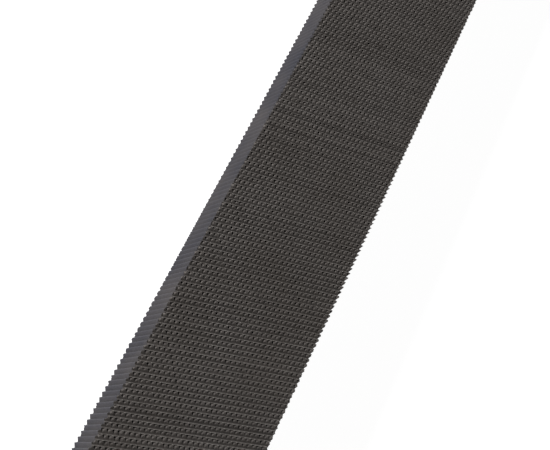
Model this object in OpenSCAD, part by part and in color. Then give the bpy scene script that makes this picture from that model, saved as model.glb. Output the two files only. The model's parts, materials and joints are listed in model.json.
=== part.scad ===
// Flat file: a forged steel blade with its tang in a turned wooden handle.
// The file lies along X with its point at +X, its width along Y and its working faces up and down.
// The origin is the middle of the whole tool, on its axis. All sizes are in millimetres.

/* [Blade] */
// Length from the point to the heel
blade_len = 250; // [150:5:350]
// Width of the two working faces
blade_w = 25; // [16:0.5:36]
// Thickness between the two working faces
blade_t = 6; // [4:0.25:9]
// Length of the stretch that narrows towards the point
taper_len = 100; // [50:5:140]
// Width at the point
point_w = 20; // [12:0.5:30]
// Thickness at the point
point_t = 4.5; // [3:0.25:7]

/* [Tang] */
// Length of the shoulders between heel and tang
shoulder_len = 11; // [6:0.5:18]
// Length of bare tang between the shoulders and the handle
neck_len = 6; // [3:0.5:14]
// Length of tang inside the handle
seat_len = 58; // [40:1:72]
// Width of the tang where it leaves the shoulders
tang_root_w = 11.5; // [8:0.5:14]
// Thickness of the tang where it leaves the shoulders
tang_root_t = 5; // [3.5:0.25:6]
// Width of the tang at its end
tang_end_w = 4.5; // [3:0.5:7]
// Thickness of the tang at its end
tang_end_t = 3; // [2:0.25:5]

/* [Handle] */
// Length of the handle with its ferrule
handle_len = 120; // [110:1:150]
// Diameter of the front swell, where the thumb and finger lie
swell_d = 30.5; // [28:0.5:34]
// Diameter of the waist
waist_d = 26; // [24:0.5:28]
// Diameter of the rear swell, which fills the palm
palm_d = 33; // [31:0.5:38]
// Distance from the ferrule to the fullest part of the front swell
swell_reach = 27; // [18:1:30]
// Distance from the front swell to the waist
waist_reach = 27; // [18:1:30]
// Length of the domed end
dome_len = 17; // [10:0.5:22]
// Step of the wood above the ferrule
collar_step = 0.6; // [0.2:0.1:1.2]

/* [Scribed lines] */
// Distance from the ferrule to the first scribed line
scribe_from = 4; // [2:0.5:6]
// Distance between the two scribed lines
scribe_pitch = 2.5; // [1.5:0.25:4]
// Width of a scribed line at the surface
scribe_w = 0.9; // [0.5:0.1:1.2]
// Depth of a scribed line
scribe_depth = 0.5; // [0.2:0.1:0.8]

/* [Ferrule] */
// Outer diameter of the ferrule
ferrule_d = 22; // [20:0.5:26]
// Length of the ferrule
ferrule_len = 18; // [14:0.5:24]
// Wall of the ferrule
ferrule_wall = 0.9; // [0.6:0.1:1.5]
// Rounding of the front edge
front_round = 0.7; // [0.3:0.1:1.2]
// Distance from the back of the ferrule to the two punch marks that lock it to the wood
punch_back = 5.5; // [4:0.5:9]
// Diameter of a punch mark
punch_d = 2.6; // [1.5:0.1:3.5]
// Depth of a punch mark
punch_depth = 0.45; // [0.2:0.05:0.55]

/* [Fits] */
// Clearance all round the tang in its socket
tang_fit = 0.08; // [0.05:0.01:0.2]
// Room between the corners of the tang and the turned-in lip of the ferrule
lip_room = 1.5; // [0.8:0.1:2.2]
// Room left in the socket past the end of the tang
socket_room = 4; // [2:0.5:8]
// Diameter of the pilot hole that the tang is driven into
pilot_d = 7; // [5.5:0.25:8]
// Depth of the pilot hole
pilot_len = 36; // [20:1:38]

/* [Hidden] */
$fn = 96;

// How many straight stretches stand for each curve of an outline.
taper_steps = 6;
shoulder_steps = 8;
swell_steps = 14;
dome_steps = 12;
round_steps = 6;

// How far a cut runs past the surface that it opens.
overcut = 1;

// Places along X, from the point back to the butt.
x_point = (blade_len + shoulder_len + neck_len + handle_len) / 2;
x_taper = x_point - taper_len;
x_heel = x_point - blade_len;
x_root = x_heel - shoulder_len;
x_front = x_root - neck_len;
x_tang_end = x_front - seat_len;
tang_len = neck_len + seat_len;

// Radii of the handle's front, and distances back from the front of the ferrule.
nose_r = ferrule_d / 2 - ferrule_wall;
collar_r = ferrule_d / 2 + collar_step;
swell_at = ferrule_len + swell_reach;
waist_at = swell_at + waist_reach;
palm_at = handle_len - dome_len;
punch_at = ferrule_len - punch_back;

// Half of the tang's width or thickness at a distance past the shoulders.
function tang_half(root, end, d) = (root + (end - root) * d / tang_len) / 2;

neck_corner = [tang_half(tang_root_w, tang_end_w, neck_len), tang_half(tang_root_t, tang_end_t, neck_len)];
lip_r = norm(neck_corner) + lip_room;

// Eases from 0 to 1 and is level at both ends.
function ease(t) = (1 - cos(180 * t)) / 2;

// Half of a size that narrows to the point along a parabola.
function belly(full, end, t) = (full - (full - end) * t * t) / 2;

// Half outline of the forging, from the point to the end of the tang, for its width or for its thickness.
function forging_half(full, point, root, end) = concat(
    [for (i = [taper_steps : -1 : 0]) let(t = i / taper_steps)
        [x_taper + taper_len * t, belly(full, point, t)]],
    [for (i = [0 : shoulder_steps]) let(t = i / shoulder_steps)
        [x_heel - shoulder_len * t, (full + (root - full) * ease(t)) / 2]],
    [[x_tang_end, end / 2]]);

// Half outline of the socket: the tang's own taper with the fit round it, run on past both of its ends.
function socket_half(root, end) = [for (d = [neck_len - overcut, tang_len + socket_room])
    [x_root - d, tang_half(root, end, d) + tang_fit]];

// Closes a half outline with its mirror image below the axis.
function both_sides(half) = concat(half, [for (i = [len(half) - 1 : -1 : 0]) [half[i][0], -half[i][1]]]);

// Points of a swell that eases from one [distance, radius] to the next, without the first of them.
function swell(a, b) = [for (i = [1 : swell_steps]) [
    a[0] + (b[0] - a[0]) * i / swell_steps,
    a[1] + (b[1] - a[1]) * ease(i / swell_steps)]];

function handle_profile() = let(
        collar = [ferrule_len, collar_r],
        front = [swell_at, swell_d / 2],
        waist = [waist_at, waist_d / 2],
        palm = [palm_at, palm_d / 2])
    concat(
        [[ferrule_len, 0], collar],
        swell(collar, front),
        swell(front, waist),
        swell(waist, palm),
        [for (i = [1 : dome_steps - 1]) let(a = 90 * i / dome_steps)
            [palm_at + dome_len * sin(a), palm_d / 2 * cos(a)]],
        [[handle_len, 0]]);

function ferrule_profile() = concat(
    [[0, lip_r]],
    [for (i = [0 : round_steps]) let(a = 90 * i / round_steps)
        [front_round * (1 - cos(a)), ferrule_d / 2 - front_round * (1 - sin(a))]],
    [[ferrule_len, ferrule_d / 2], [ferrule_len, nose_r], [ferrule_wall, nose_r], [ferrule_wall, lip_r]]);

// Turns [distance back from the ferrule's front, radius] points round the file's axis.
module turned(profile) {
    translate([x_front, 0, 0]) rotate([0, -90, 0])
        rotate_extrude() polygon([for (p = profile) [p[1], p[0]]]);
}

// What two half outlines have in common: one seen from above, the other seen from the side.
module forged(plan, side) {
    reach = 2 * blade_w;
    intersection() {
        translate([0, 0, -reach / 2]) linear_extrude(reach) polygon(both_sides(plan));
        rotate([90, 0, 0]) translate([0, 0, -reach / 2]) linear_extrude(reach) polygon(both_sides(side));
    }
}

// Blade, shoulders and tang are one forging.
module file_blade() {
    color("#4b4948") forged(
        forging_half(blade_w, point_w, tang_root_w, tang_end_w),
        forging_half(blade_t, point_t, tang_root_t, tang_end_t));
}

// Pilot hole and the tapered seat that the tang is driven into.
module socket() {
    forged(socket_half(tang_root_w, tang_end_w), socket_half(tang_root_t, tang_end_t));
    translate([x_front + overcut, 0, 0]) rotate([0, -90, 0]) cylinder(d = pilot_d, h = pilot_len + overcut);
}

// The lathe's scribed lines lie on the slope behind the collar, so each follows the radius where it is cut.
module scribed_line(at) {
    r = collar_r + (swell_d / 2 - collar_r) * ease((at - ferrule_len) / swell_reach);
    turned([[at - scribe_w, r + scribe_depth], [at, r - scribe_depth], [at + scribe_w, r + scribe_depth]]);
}

// Turned hardwood grip, stepped down at the front to take the ferrule.
module wood_handle() {
    color("#c89a5e") difference() {
        union() {
            turned(handle_profile());
            turned([
                [ferrule_wall, 0],
                [ferrule_wall, nose_r],
                [ferrule_len + overcut, nose_r],
                [ferrule_len + overcut, 0]]);
        }
        socket();
        for (i = [0, 1]) scribed_line(ferrule_len + scribe_from + i * scribe_pitch);
    }
}

// Two punch marks across the ferrule, as shallow caps of a ball.
module punch_marks() {
    ball_r = (pow(punch_d / 2, 2) + pow(punch_depth, 2)) / (2 * punch_depth);
    for (side = [-1, 1])
        translate([x_front - punch_at, side * (ferrule_d / 2 - punch_depth + ball_r), 0]) sphere(ball_r);
}

// Steel tube over the front of the wood, with its front edge turned in over the end grain.
module ferrule() {
    color("#b9bcc0") difference() {
        turned(ferrule_profile());
        punch_marks();
    }
}

file_blade();
wood_handle();
ferrule();
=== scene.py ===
"""A flat file: a toothed steel blade with its tang in a turned wooden handle.

Lengths are in millimetres until a mesh or an object is made, which is in metres.
"""
import json
import math

import bmesh
import bpy
import numpy as np
from mathutils import Matrix, Vector


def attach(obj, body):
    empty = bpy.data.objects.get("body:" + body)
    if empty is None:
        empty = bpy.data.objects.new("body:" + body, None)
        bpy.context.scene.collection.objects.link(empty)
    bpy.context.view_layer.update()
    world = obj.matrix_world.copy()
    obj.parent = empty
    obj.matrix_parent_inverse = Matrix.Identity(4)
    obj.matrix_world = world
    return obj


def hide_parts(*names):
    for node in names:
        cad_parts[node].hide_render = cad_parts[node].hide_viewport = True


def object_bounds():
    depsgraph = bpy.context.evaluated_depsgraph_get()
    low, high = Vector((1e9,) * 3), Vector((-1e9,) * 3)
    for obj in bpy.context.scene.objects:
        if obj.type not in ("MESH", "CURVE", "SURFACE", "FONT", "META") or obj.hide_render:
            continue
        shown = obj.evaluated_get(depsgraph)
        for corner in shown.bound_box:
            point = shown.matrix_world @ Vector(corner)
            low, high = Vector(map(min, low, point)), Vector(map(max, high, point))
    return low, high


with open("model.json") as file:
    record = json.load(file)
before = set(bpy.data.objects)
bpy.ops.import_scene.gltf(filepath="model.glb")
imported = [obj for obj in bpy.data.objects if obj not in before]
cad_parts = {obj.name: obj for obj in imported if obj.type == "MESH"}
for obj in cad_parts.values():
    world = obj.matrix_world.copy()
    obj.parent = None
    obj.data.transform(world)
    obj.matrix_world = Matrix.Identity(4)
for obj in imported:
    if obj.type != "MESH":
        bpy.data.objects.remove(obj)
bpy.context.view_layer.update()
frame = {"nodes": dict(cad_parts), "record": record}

MM = 0.001

# The camera looks down on the blade from the handle's end, rolled until the file stands diagonally. Angles are in
# degrees, its aim in millimetres past the middle of the upper face, and the clip in metres.
LOOK_AZIMUTH, LOOK_DOWN, LOOK_ROLL = -41.06, 54.98, 73.8
LOOK_AT = (5.5, 3.1)
CAMERA_DISTANCE, LENS, CLIP_START = 179.4, 76.9, 0.005

# The two cuts of a working face: how far apart their teeth are, their angle to the file's length, and their depth.
OVERCUT_PITCH, OVERCUT_ANGLE, OVERCUT_DEPTH = 0.786, 43.2, 0.32
UPCUT_PITCH, UPCUT_ANGLE, UPCUT_DEPTH = 0.824, 112.3, 0.35
# The share of an upcut's pitch that is its flat crest, and how far the crest sags into the overcut's furrows.
UPCUT_LAND, BURR_SAG = 0.06, 0.03
# Each cut's section as shares of its pitch and depth: the steep face, the pit, then the back up to the next crest.
OVERCUT_SECTION = ((0, 0), (0.2, -1), (1, 0))
UPCUT_SECTION = ((0, 0), (UPCUT_LAND, 0), (0.24, -1), (0.36, -0.97), (1, 0))
# Where along one tooth the mesh has its lines.
OVERCUT_STEPS = (0.0, 0.1, 0.2, 0.46, 0.74)
UPCUT_STEPS = (0.0, UPCUT_LAND, 0.24, 0.36, 0.62, 0.9)
# The single cut straight across each narrow side, and how far one side's cuts are shifted against the other's.
EDGE_PITCH, EDGE_DEPTH, EDGE_PIT, EDGE_SHIFT = 0.9, 0.27, 0.27, 0.37
EDGE_SECTION = ((0, 0), (EDGE_PIT, -1), (1, 0))
# How far past the heel each cut begins, and how far under the tips the uncut steel lies.
UPCUT_FROM, OVERCUT_FROM, EDGE_FROM, UNCUT_SINK = 10.0, 14.0, 7.0, 0.06
# The number of cuts over which the double cut reaches its depth.
RUN_IN = 4
# What chance does to the teeth: the spread of their places and depths, and how much the burr varies.
LINE_SHIFT, OVERCUT_SPREAD, UPCUT_SPREAD, BURR_LEAST, BURR_MOST, TOOTH_SINK = 0.02, 0.07, 0.05, 0.6, 1.5, 0.014
UPPER_SEED, LOWER_SEED = 11, 23
# More lines than either cut has on a face: the size of the tables of chance.
LINES = 1024

# The toothed blade is made in this many pieces, from this far past the heel.
STRETCHES, HEEL_KEPT = 7, 2.0
# How far past a piece the blocks it is cut from reach: the toothed ones all round and below, the plan's up and down.
MARGIN, SLAB_UNDER, PLAN_OVER = 1.5, 1.0, 0.5
# Lengths in millimetres this close count as equal, and a normal with this much of one axis lies along it.
CLOSE, STRAIGHT = 1e-3, 0.9999
# The nearness to a tip that a piece's end face is given, the gaps in the map, and its scale for end faces.
END_TIP, MAP_GAP, END_SCALE = 0.5, 0.5, 0.5

# The forging's edges: the bends in degrees that count as flat, sharp, and creased in shading, and the rounding.
FLAT_BEND, SHARP_BEND, CREASE_BEND, EDGE_ROUND = 0.3, 35, 30, 0.45

# The room, in metres and watts, and the sines of the angles between which its white wall ends.
FLOOR_SIZE, FLOOR_CELLS, FLOOR_GLOW = 6, 8, 0.97
KEY_PLACE, KEY_SIZE, KEY_POWER = (-0.03, 1.22, 0.66), 0.3, 42
WALL_TOP, WALL_GLOW, SKY_GLOW = (0.2, 0.26), 1.05, 0.004


# ---------------------------------------------------------------- the frame's sizes

def blade_sizes():
    """The blade's outline, read from its CAD solid, in millimetres."""
    points = np.array([v.co[:] for v in frame["nodes"]["file_blade"].data.vertices]) / MM
    x, y, z = points[:, 0], abs(points[:, 1]), abs(points[:, 2])
    near = 0.01
    broad, end = y > y.max() - near, x > x.max() - near
    return {
        "point": x.max(), "taper": x[broad].max(), "heel": x[broad].min(),
        "half_w": y.max(), "half_t": z.max(), "point_half_w": y[end].max(), "point_half_t": z[end].max(),
    }


BLADE = blade_sizes()


def belly(x, full, end):
    """Half of the blade's width or thickness at x: even, then narrowing along a parabola to the point."""
    t = np.clip((x - BLADE["taper"]) / (BLADE["point"] - BLADE["taper"]), 0, 1)
    return full - (full - end) * t * t


def half_width(x):
    return belly(x, BLADE["half_w"], BLADE["point_half_w"])


def half_thickness(x):
    return belly(x, BLADE["half_t"], BLADE["point_half_t"])


# ---------------------------------------------------------------- meshes

def mesh_object(name, points, faces):
    """An object from points in millimetres and triangles, given as arrays."""
    mesh = bpy.data.meshes.new(name)
    mesh.vertices.add(len(points))
    mesh.vertices.foreach_set("co", (np.asarray(points) * MM).astype(np.float32).ravel())
    mesh.loops.add(faces.size)
    mesh.loops.foreach_set("vertex_index", faces.astype(np.int32).ravel())
    mesh.polygons.add(len(faces))
    mesh.polygons.foreach_set("loop_start", np.arange(0, faces.size, 3, dtype=np.int32))
    mesh.update(calc_edges=True)
    obj = bpy.data.objects.new(name, mesh)
    bpy.context.scene.collection.objects.link(obj)
    return obj


def apply_modifiers(obj):
    """Puts what the modifiers make into the object's own mesh."""
    bpy.context.view_layer.update()
    made = bpy.data.meshes.new_from_object(obj.evaluated_get(bpy.context.evaluated_depsgraph_get()))
    obj.modifiers.clear()
    old, obj.data = obj.data, made
    bpy.data.meshes.remove(old)
    made.name = obj.name


def keep_common(obj, *others):
    """Cuts obj down to what it has in common with the others, which are then removed."""
    for other in others:
        cut = obj.modifiers.new("common", "BOOLEAN")
        cut.operation, cut.solver, cut.object = "INTERSECT", "MANIFOLD", other
    apply_modifiers(obj)
    for other in others:
        bpy.data.objects.remove(other)


# ---------------------------------------------------------------- the teeth of a working face

CUTS = np.array([
    [math.sin(math.radians(OVERCUT_ANGLE)), -math.cos(math.radians(OVERCUT_ANGLE))],
    [math.sin(math.radians(UPCUT_ANGLE)), -math.cos(math.radians(UPCUT_ANGLE))],
]) / np.array([[OVERCUT_PITCH], [UPCUT_PITCH]])


def face_chance(seed):
    """The small differences between one face's teeth: between its lines, and from tooth to tooth."""
    draw = np.random.default_rng(seed)
    return {
        "over_shift": draw.normal(0, LINE_SHIFT, LINES), "up_shift": draw.normal(0, LINE_SHIFT, LINES),
        "over_depth": draw.normal(1, OVERCUT_SPREAD, LINES), "up_depth": draw.normal(1, UPCUT_SPREAD, LINES),
        "burr": draw.uniform(BURR_LEAST, BURR_MOST, (LINES, LINES)),
        "sink": abs(draw.normal(0, TOOTH_SINK, (LINES, LINES))),
    }


def section(phase, points):
    """How far down a cut goes at a phase, as a share of its depth."""
    return np.interp(phase, *zip(*points))


def eased(t):
    """Goes from 0 to 1 as t does, with no corner at either end."""
    t = np.clip(t, 0, 1)
    return t * t * (3 - 2 * t)


def tooth_heights(over, up, i, j, chance):
    """Depth of the double cut below the tips, for phases over and up within tooth i, j."""
    low_over = OVERCUT_DEPTH * chance["over_depth"][i] * section(over, OVERCUT_SECTION)
    low_up = UPCUT_DEPTH * chance["up_depth"][j] * section(up, UPCUT_SECTION)
    cut = np.minimum(low_over, low_up)
    on_crest = up <= UPCUT_LAND
    return np.where(on_crest, np.maximum(cut, -BURR_SAG * chance["burr"][i, j]), cut) - chance["sink"][i, j]


def toothed_slab(name, x0, x1, chance):
    """A block whose top is the double-cut face over the stretch x0 to x1, a little larger all round."""
    reach = BLADE["half_w"] + MARGIN
    corners = np.array([(x, y) for x in (x0 - MARGIN, x1 + MARGIN) for y in (-reach, reach)]) @ CUTS.T
    low, high = np.floor(corners.min(0)).astype(int), np.ceil(corners.max(0)).astype(int)
    n_over, n_up = len(OVERCUT_STEPS), len(UPCUT_STEPS)
    count_i, count_j = high - low
    line_i = np.arange(count_i * n_over + 1)
    line_j = np.arange(count_j * n_up + 1)
    i, j = low[0] + line_i // n_over, low[1] + line_j // n_up
    over = np.array(OVERCUT_STEPS)[line_i % n_over]
    up = np.array(UPCUT_STEPS)[line_j % n_up]
    i, j = np.meshgrid(i, j, indexing="ij")
    over, up = np.meshgrid(over, up, indexing="ij")
    row_i, row_j = i + LINES // 2, j + LINES // 2
    phase = np.stack([i + over + chance["over_shift"][row_i], j + up + chance["up_shift"][row_j]], axis=-1)
    place = phase @ np.linalg.inv(CUTS).T
    x, y = place[..., 0], place[..., 1]
    start = np.array([BLADE["heel"], 0.0])
    begun_up = eased((phase[..., 1] - CUTS[1] @ (start + [UPCUT_FROM, 0])) / RUN_IN)
    begun_over = eased(phase[..., 0] - CUTS[0] @ (start + [OVERCUT_FROM, 0]))
    deep = tooth_heights(np.where(begun_over > 0, over, 0), up, row_i, row_j, chance)
    height = half_thickness(x) - UNCUT_SINK + begun_up * (deep + UNCUT_SINK)
    top = np.stack([x, y, height], axis=-1).reshape(-1, 3)

    stride = len(line_j)
    cell = line_i[:-1, None] * stride + line_j[None, :-1]
    middle = place[::n_over, ::n_up][:-1, :-1]
    inside = (middle[..., 0] > x0 - MARGIN) & (middle[..., 0] < x1 + MARGIN) & (abs(middle[..., 1]) < reach)
    cell = cell[np.repeat(np.repeat(inside, n_over, 0), n_up, 1)]
    faces = np.concatenate([
        np.stack([cell, cell + stride, cell + stride + 1], axis=1),
        np.stack([cell, cell + stride + 1, cell + 1], axis=1),
    ])
    return closed_slab(name, top, faces, -(BLADE["half_t"] + SLAB_UNDER))


def closed_slab(name, top, faces, floor):
    """The solid between a sheet of triangles and a flat floor under it."""
    used, faces = np.unique(faces, return_inverse=True)
    faces, top = faces.reshape(-1, 3), top[used]
    under = top.copy()
    under[:, 2] = floor
    n = len(top)
    edges = np.concatenate([faces[:, [0, 1]], faces[:, [1, 2]], faces[:, [2, 0]]])
    key = edges.min(1) * n + edges.max(1)
    _, first, count = np.unique(key, return_index=True, return_counts=True)
    a, b = edges[first[count == 1]].T
    walls = np.concatenate([np.stack([b, a, a + n], axis=1), np.stack([b, a + n, b + n], axis=1)])
    return mesh_object(name, np.concatenate([top, under]), np.concatenate([faces, faces[:, ::-1] + n, walls]))


def edge_line(x0, x1, offset):
    """Points of one narrow side seen from above: half the width less its single cut, from x0 to x1."""
    first = math.floor((x0 - offset) / EDGE_PITCH)
    last = math.ceil((x1 - offset) / EDGE_PITCH)
    crests = offset + EDGE_PITCH * np.arange(first, last + 1)
    x = np.sort(np.concatenate([crests, crests + EDGE_PIT * EDGE_PITCH, [x0, x1]]))
    x = np.unique(x[(x >= x0) & (x <= x1)])
    phase = ((x - offset) / EDGE_PITCH + 1e-9) % 1
    begun = eased((x - BLADE["heel"] - EDGE_FROM) / EDGE_PITCH)
    depth = EDGE_DEPTH * section(phase, EDGE_SECTION)
    return np.stack([x, half_width(x) - UNCUT_SINK + begun * (depth + UNCUT_SINK)], axis=1)


def plan_block(name, x0, x1):
    """The stretch's outline from above, with the teeth of both narrow sides, stood up as a block."""
    near = edge_line(x0, x1, EDGE_PITCH * EDGE_SHIFT) * [1, -1]
    far = edge_line(x0, x1, 0.0)[::-1]
    ring = np.concatenate([near, far])
    n, reach = len(ring), BLADE["half_t"] + PLAN_OVER
    points = np.concatenate([np.c_[ring, np.full(n, -reach)], np.c_[ring, np.full(n, reach)]]) * MM
    sides = [(k, (k + 1) % n, (k + 1) % n + n, k + n) for k in range(n)]
    mesh = bpy.data.meshes.new(name)
    mesh.from_pydata(points.tolist(), [], [list(range(n))[::-1], list(range(n, 2 * n)), *sides])
    mesh.update()
    obj = bpy.data.objects.new(name, mesh)
    bpy.context.scene.collection.objects.link(obj)
    return obj


def mark_teeth(obj, x0, x1):
    """Adds what the steel's material reads: a spot's nearness to a tooth's tip, from which it paints shade into the
    pits and a highlight onto the crests, and whether it's on a narrow side, which it paints darker as shade.
    """
    mesh = obj.data
    corner_vertex = np.zeros(len(mesh.loops), np.int32)
    mesh.loops.foreach_get("vertex_index", corner_vertex)
    co = np.zeros(len(mesh.vertices) * 3, np.float32)
    mesh.vertices.foreach_get("co", co)
    co = co.reshape(-1, 3)[corner_vertex] / MM
    normal = np.zeros(len(mesh.polygons) * 3, np.float32)
    mesh.polygons.foreach_get("normal", normal)
    sizes = np.zeros(len(mesh.polygons), np.int32)
    mesh.polygons.foreach_get("loop_total", sizes)
    normal = np.repeat(normal.reshape(-1, 3), sizes, axis=0)
    upright = abs(normal[:, 2]) < CLOSE
    at_end = (abs(co[:, 0] - x0) < CLOSE) | (abs(co[:, 0] - x1) < CLOSE)
    end = upright & at_end & (abs(normal[:, 0]) > STRAIGHT)
    side = upright & ~end
    down = half_thickness(co[:, 0]) - abs(co[:, 2])
    inward = half_width(co[:, 0]) - abs(co[:, 1])
    tip = np.where(side, 1 - inward / EDGE_DEPTH, 1 - down / UPCUT_DEPTH)
    for label, value in (("tip", np.where(end, END_TIP, tip)), ("side", side)):
        layer = mesh.attributes.new(label, "FLOAT", "CORNER")
        layer.data.foreach_set("value", np.clip(value, 0, 1).astype(np.float32))
    spread_map(mesh, co, normal, side, end, x0)


def spread_map(mesh, co, normal, side, end, x0):
    """Lays the faces out flat: both working faces, then both sides stood beside them, and the ends."""
    width, thick = 2 * BLADE["half_w"], 2 * BLADE["half_t"]
    square = 2 * width + 3 * MAP_GAP
    along = co[:, 0] - x0
    u = along.copy()
    v = co[:, 1] + BLADE["half_w"]
    under = ~side & ~end & (normal[:, 2] < 0)
    v[under] += width + MAP_GAP
    column = square - 2 * thick - MAP_GAP
    for wall, shift in ((side & (normal[:, 1] > 0), 0.0), (side & (normal[:, 1] < 0), thick + MAP_GAP)):
        u[wall] = column + shift + co[wall, 2] + BLADE["half_t"]
        v[wall] = along[wall]
    u[end] = column + END_SCALE * (co[end, 1] + BLADE["half_w"])
    foot = square - MAP_GAP - END_SCALE * thick * (1 + (normal[end, 0] > 0))
    v[end] = foot + END_SCALE * (co[end, 2] + BLADE["half_t"])
    layer = mesh.uv_layers.new(name="OFBake")
    layer.data.foreach_set("uv", (np.stack([u, v], axis=1) / square).astype(np.float32).ravel())


def cut_blade():
    """The toothed part of the blade, as one piece for each stretch of its length."""
    upper_chance, lower_chance = face_chance(UPPER_SEED), face_chance(LOWER_SEED)
    bounds = np.linspace(BLADE["heel"] + HEEL_KEPT, BLADE["point"], STRETCHES + 1)
    pieces = []
    for k, (x0, x1) in enumerate(zip(bounds[:-1], bounds[1:])):
        upper = toothed_slab(f"upper_{k}", x0, x1, upper_chance)
        lower = toothed_slab(f"lower_{k}", x0, x1, lower_chance)
        lower.data.transform(Matrix.Rotation(math.pi, 4, "X"))
        piece = plan_block(f"cut_blade_{k + 1}", x0, x1)
        keep_common(piece, upper, lower)
        piece.data.shade_flat()
        mark_teeth(piece, x0, x1)
        pieces.append(piece)
    return pieces


# ---------------------------------------------------------------- heel and tang

def heel_and_tang():
    """The uncut end of the forging, cut from the CAD solid, with its edges eased."""
    built = bmesh.new()
    built.from_mesh(frame["nodes"]["file_blade"].data)
    bmesh.ops.remove_doubles(built, verts=built.verts, dist=1e-6)
    bmesh.ops.dissolve_limit(built, angle_limit=math.radians(FLAT_BEND), verts=built.verts, edges=built.edges)
    cut_at, near = (BLADE["heel"] + HEEL_KEPT) * MM, 0.01 * MM
    everything = built.verts[:] + built.edges[:] + built.faces[:]
    bmesh.ops.bisect_plane(built, geom=everything, plane_co=(cut_at, 0, 0), plane_no=(1, 0, 0), clear_outer=True)
    bmesh.ops.holes_fill(built, edges=[e for e in built.edges if e.is_boundary])
    scale = Vector((1, 1 - UNCUT_SINK / BLADE["half_w"], 1 - UNCUT_SINK / BLADE["half_t"]))
    bmesh.ops.scale(built, vec=scale, verts=built.verts)
    bmesh.ops.recalc_face_normals(built, faces=built.faces)
    sharp = [e for e in built.edges if e.calc_face_angle() > math.radians(SHARP_BEND)
             and max(abs(v.co.x - cut_at) for v in e.verts) > near]
    bmesh.ops.bevel(built, geom=sharp, offset=EDGE_ROUND * MM, segments=3, profile=0.5, affect="EDGES")
    mesh = bpy.data.meshes.new("heel_and_tang")
    built.to_mesh(mesh)
    built.free()
    obj = bpy.data.objects.new("heel_and_tang", mesh)
    bpy.context.scene.collection.objects.link(obj)
    for polygon in obj.data.polygons:
        polygon.use_smooth = True
    obj.data.set_sharp_from_angle(angle=math.radians(CREASE_BEND))
    return obj


# ---------------------------------------------------------------- materials

class Shade:
    """A material's node tree, with short ways to add to it."""

    def __init__(self, name):
        self.material = bpy.data.materials.new(name)
        self.material.use_nodes = True
        self.tree = self.material.node_tree
        self.shader = self.tree.nodes["Principled BSDF"]
        self.place = self.add("ShaderNodeTexCoord").outputs["Object"]

    def add(self, kind, settings=None, **inputs):
        node = self.tree.nodes.new(kind)
        for key, value in (settings or {}).items():
            setattr(node, key, value)
        for key, value in inputs.items():
            self.put(node.inputs[key.replace("_", " ")], value)
        return node

    def put(self, socket, value):
        if isinstance(value, bpy.types.NodeSocket):
            self.tree.links.new(value, socket)
        else:
            socket.default_value = value

    def stretched(self, scale):
        node = self.add("ShaderNodeMapping", Vector=self.place)
        node.inputs["Scale"].default_value = scale
        return node.outputs["Vector"]

    def noise(self, scale, detail=3.0, roughness=0.55, place=None):
        node = self.add(
            "ShaderNodeTexNoise", Vector=place or self.place, Scale=scale, Detail=detail, Roughness=roughness)
        return node.outputs["Fac"]

    def ramp(self, value, *stops):
        """Colour or number stops, as (position, colour or number)."""
        node = self.add("ShaderNodeValToRGB", Fac=value)
        band = node.color_ramp
        while len(band.elements) < len(stops):
            band.elements.new(0.5)
        for element, (position, tone) in zip(band.elements, stops):
            element.position = position
            element.color = (*tone, 1) if isinstance(tone, tuple) else (tone, tone, tone, 1)
        return node.outputs["Color"]

    def mix(self, share, a, b, blend="MIX"):
        node = self.tree.nodes.new("ShaderNodeMix")
        node.data_type, node.blend_type = "RGBA", blend
        self.put(next(s for s in node.inputs if s.type == "VALUE"), share)
        for socket, tone in zip([s for s in node.inputs if s.type == "RGBA"], (a, b)):
            self.put(socket, (*tone, 1) if isinstance(tone, tuple) else tone)
        return next(s for s in node.outputs if s.type == "RGBA")

    def math(self, operation, *values):
        node = self.add("ShaderNodeMath", {"operation": operation})
        for socket, value in zip(node.inputs, values):
            self.put(socket, value)
        return node.outputs["Value"]

    def attribute(self, name):
        return self.add("ShaderNodeAttribute", {"attribute_name": name}).outputs["Fac"]

    def bump(self, height, strength, distance, under=None):
        node = self.add("ShaderNodeBump", Height=height, Strength=strength, Distance=distance * MM)
        if under:
            self.put(node.inputs["Normal"], under)
        return node.outputs["Normal"]

    def surface(self, **inputs):
        for key, value in inputs.items():
            self.put(self.shader.inputs[key.replace("_", " ")], value)
        return self.material


def toothed_steel():
    s = Shade("toothed_steel")
    tip, side = s.attribute("tip"), s.attribute("side")
    patina = s.noise(90, 4)
    grain = s.noise(5200, 2)
    # The face darkens towards the pits, partly as dirt in the hollows and partly as painted shade, and brightens on
    # the crests past 0.84, partly as polish and partly as a painted highlight.
    face = s.ramp(
        tip, (0.0, (0.065, 0.059, 0.055)), (0.32, (0.145, 0.131, 0.123)), (0.6, (0.155, 0.141, 0.132)),
        (0.84, (0.155, 0.141, 0.132)), (0.91, (0.38, 0.355, 0.335)))
    # The narrow sides are painted far darker than the faces, as painted shade against the key lamp that lights them
    # more. They are darkest in the pits of their cut, and their crests are lifted to a painted highlight.
    flank = s.ramp(
        tip, (0.0, (0.004, 0.004, 0.008)), (0.8, (0.010, 0.010, 0.017)), (1.0, (0.035, 0.035, 0.045)))
    colour = s.mix(side, face, flank)
    colour = s.mix(s.ramp(patina, (0.35, 0.0), (0.75, 0.35)), colour, (0.09, 0.076, 0.064))
    colour = s.mix(s.ramp(grain, (0.4, 0.0), (0.8, 0.3)), colour, (0.05, 0.046, 0.042))
    rough = s.mix(side, s.ramp(tip, (0.0, 0.55), (0.5, 0.43), (0.91, 0.36)), (0.9, 0.9, 0.9))
    s.put(s.shader.inputs["Metallic"], s.math("MULTIPLY_ADD", side, -0.3, 0.55))
    return s.surface(Base_Color=colour, Roughness=rough, Normal=s.bump(grain, 0.35, 0.02))


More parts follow.
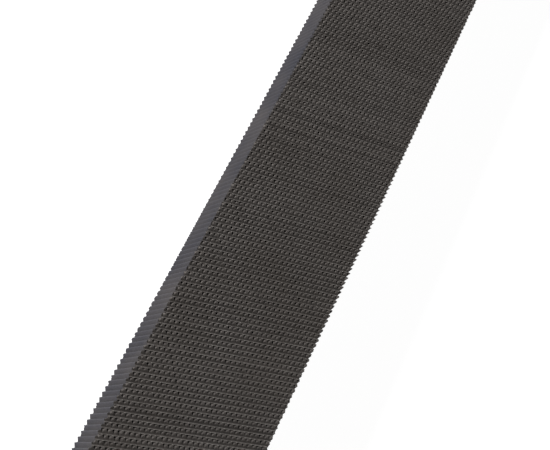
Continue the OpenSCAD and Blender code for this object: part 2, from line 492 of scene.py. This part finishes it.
def forged_steel():
    s = Shade("forged_steel")
    scale_marks = s.noise(260, 5, 0.6)
    grinding = s.noise(900, 2, 0.5, s.stretched((0.12, 1.0, 1.0)))
    colour = s.ramp(
        scale_marks, (0.3, (0.035, 0.033, 0.033)), (0.5, (0.085, 0.08, 0.076)), (0.72, (0.15, 0.14, 0.13)))
    colour = s.mix(s.ramp(s.noise(60, 3), (0.55, 0.0), (0.7, 0.5)), colour, (0.07, 0.045, 0.03))
    rough = s.ramp(grinding, (0.3, 0.62), (0.7, 0.4))
    s.shader.inputs["Metallic"].default_value = 0.8
    normal = s.bump(grinding, 0.3, 0.03, s.bump(scale_marks, 0.5, 0.08))
    return s.surface(Base_Color=colour, Roughness=rough, Normal=normal)


def turned_wood():
    s = Shade("turned_wood")
    wander = s.noise(28, 3, 0.5, s.stretched((0.18, 1.0, 1.0)))
    rings = s.add(
        "ShaderNodeTexWave", {"wave_type": "RINGS", "rings_direction": "X"},
        Vector=s.stretched((0.22, 1.0, 1.0)), Scale=120, Distortion=3.2, Detail=3, Detail_Scale=1.4)
    pores = s.noise(2600, 2, 0.6, s.stretched((0.035, 1.0, 1.0)))
    colour = s.ramp(
        rings.outputs["Fac"], (0.0, (0.27, 0.135, 0.055)), (0.5, (0.42, 0.235, 0.105)), (1.0, (0.5, 0.3, 0.145)))
    colour = s.mix(s.ramp(wander, (0.35, 0.0), (0.7, 0.45)), colour, (0.33, 0.175, 0.075))
    colour = s.mix(s.ramp(pores, (0.3, 0.55), (0.47, 0.0)), colour, (0.16, 0.075, 0.03))
    rough = s.ramp(pores, (0.3, 0.6), (0.6, 0.36))
    s.shader.inputs["Coat Weight"].default_value = 0.25
    s.shader.inputs["Coat Roughness"].default_value = 0.3
    return s.surface(Base_Color=colour, Roughness=rough, Normal=s.bump(pores, 0.4, 0.06))


def ferrule_steel():
    s = Shade("ferrule_steel")
    turned = s.noise(1500, 2, 0.5, s.stretched((1.0, 0.05, 0.05)))
    stains = s.noise(120, 5, 0.6)
    colour = s.ramp(turned, (0.3, (0.42, 0.425, 0.43)), (0.7, (0.6, 0.6, 0.6)))
    colour = s.mix(s.ramp(stains, (0.5, 0.0), (0.75, 0.6)), colour, (0.24, 0.21, 0.18))
    rough = s.ramp(stains, (0.35, 0.28), (0.7, 0.52))
    s.shader.inputs["Metallic"].default_value = 1.0
    return s.surface(Base_Color=colour, Roughness=rough, Normal=s.bump(turned, 0.25, 0.02))


def pale_floor():
    s = Shade("pale_floor")
    tone = s.ramp(s.noise(3, 2), (0.3, 0.19), (0.7, 0.21))
    return s.surface(Base_Color=tone, Roughness=0.9, Emission_Color=(1, 1, 1, 1), Emission_Strength=FLOOR_GLOW)


# ---------------------------------------------------------------- floor, light and camera

def stand_on_floor():
    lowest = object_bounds()[0][2]
    bpy.ops.mesh.primitive_grid_add(
        x_subdivisions=FLOOR_CELLS, y_subdivisions=FLOOR_CELLS, size=FLOOR_SIZE, location=(0, 0, lowest))
    floor = bpy.context.object
    floor.name = "floor"
    floor.data.materials.append(pale_floor())


def soft_light(name, place, size, power):
    """A square lamp at a place, turned to the middle of the tool."""
    data = bpy.data.lights.new(name, "AREA")
    data.size, data.energy = size, power
    lamp = bpy.data.objects.new(name, data)
    lamp.location = place
    lamp.rotation_euler = (-Vector(place)).to_track_quat("-Z", "Y").to_euler()
    bpy.context.scene.collection.objects.link(lamp)


def light_studio():
    """One key, in a room that is white at the level of the floor and nearly dark overhead."""
    world = bpy.data.worlds.new("studio")
    world.use_nodes = True
    nodes, links = world.node_tree.nodes, world.node_tree.links
    direction = nodes.new("ShaderNodeSeparateXYZ")
    links.new(nodes.new("ShaderNodeTexCoord").outputs["Generated"], direction.inputs["Vector"])
    fade = nodes.new("ShaderNodeMapRange")
    for label, value in zip(("From Min", "From Max", "To Min", "To Max"), (*WALL_TOP, WALL_GLOW, SKY_GLOW)):
        fade.inputs[label].default_value = value
    links.new(direction.outputs["Z"], fade.inputs["Value"])
    nodes["Background"].inputs["Color"].default_value = (1, 1, 1, 1)
    links.new(fade.outputs["Result"], nodes["Background"].inputs["Strength"])
    bpy.context.scene.world = world
    soft_light("key", KEY_PLACE, KEY_SIZE, KEY_POWER)
    bpy.context.scene.view_settings.view_transform = "Standard"


def place_camera():
    """Looks at the upper face past the middle of its even stretch, rolled about the line of sight."""
    across, down = math.radians(LOOK_AZIMUTH), math.radians(LOOK_DOWN)
    forward = Vector((math.cos(down) * math.cos(across), math.cos(down) * math.sin(across), -math.sin(down)))
    level = forward.cross(Vector((0, 0, 1))).normalized()
    right = Matrix.Rotation(math.radians(-LOOK_ROLL), 3, forward) @ level
    up = right.cross(forward)
    face = next(m for m in frame["record"]["mounts"] if m["name"] == "upper_face")
    target = Vector(face["pos_m"]) + Vector((*LOOK_AT, 0)) * MM
    data = bpy.data.cameras.new("camera")
    data.lens, data.clip_start = LENS, CLIP_START
    camera = bpy.data.objects.new("camera", data)
    turn = Matrix((right, up, -forward)).transposed().to_4x4()
    camera.matrix_world = Matrix.Translation(target - forward * CAMERA_DISTANCE * MM) @ turn
    bpy.context.scene.collection.objects.link(camera)
    bpy.context.scene.camera = camera


# ---------------------------------------------------------------- the tool

def paint(obj, material):
    obj.data.materials.clear()
    obj.data.materials.append(material)


place_camera()
light_studio()
stand_on_floor()

teeth = toothed_steel()
for piece in cut_blade():
    paint(piece, teeth)
    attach(piece, "file")
    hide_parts("file_blade")

tang = heel_and_tang()
paint(tang, forged_steel())
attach(tang, "file")
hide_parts("file_blade")

paint(frame["nodes"]["wood_handle"], turned_wood())
paint(frame["nodes"]["ferrule"], ferrule_steel())
